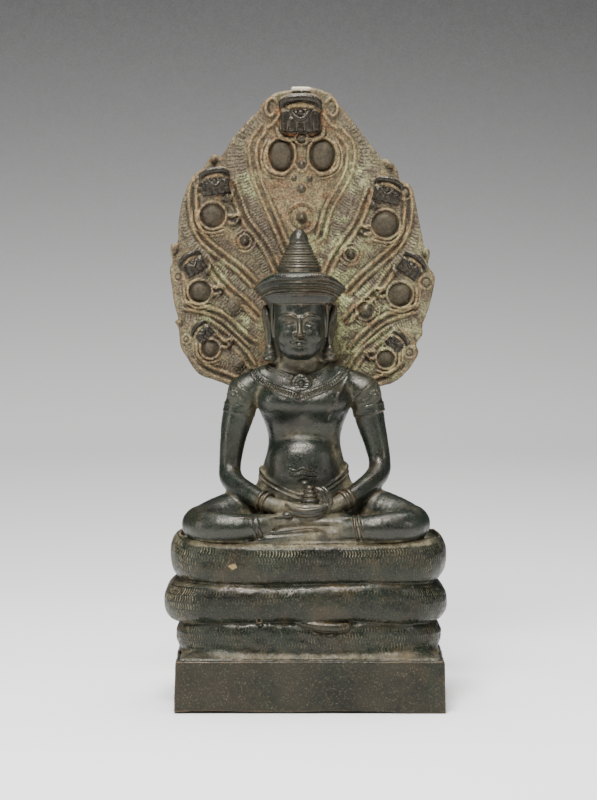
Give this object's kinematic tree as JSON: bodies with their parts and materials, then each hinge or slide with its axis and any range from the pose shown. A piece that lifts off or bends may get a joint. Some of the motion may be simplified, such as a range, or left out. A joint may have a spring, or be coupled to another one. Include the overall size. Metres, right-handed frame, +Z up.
{
  "type": "naga buddha",
  "caption": "Cast bronze crowned Buddha in meditation on the coils of a serpent, under its spread seven-headed hood, with a rectangular plinth.",
  "frame": {"origin": "centre of the plinth's underside", "axes": "+Z up, -Y the way the figure faces, +X to the viewer's right"},
  "size_m": [0.268, 0.156, 0.5821],
  "materials": {
    "throne_bronze": "dark green-brown bronze patina, satin on the coils, pitted and earthy on the plinth",
    "hood_bronze": "matt brown bronze patina with rust-orange and pale green patches and glossy dark jaws",
    "figure_bronze": "satin near-black bronze patina, rubbed on high places, pale earth in the recesses"
  },
  "bodies": {
    "root": {"naga_throne": "throne_bronze", "naga_hood": "hood_bronze", "buddha_figure": "figure_bronze"}
  },
  "joints": []
}
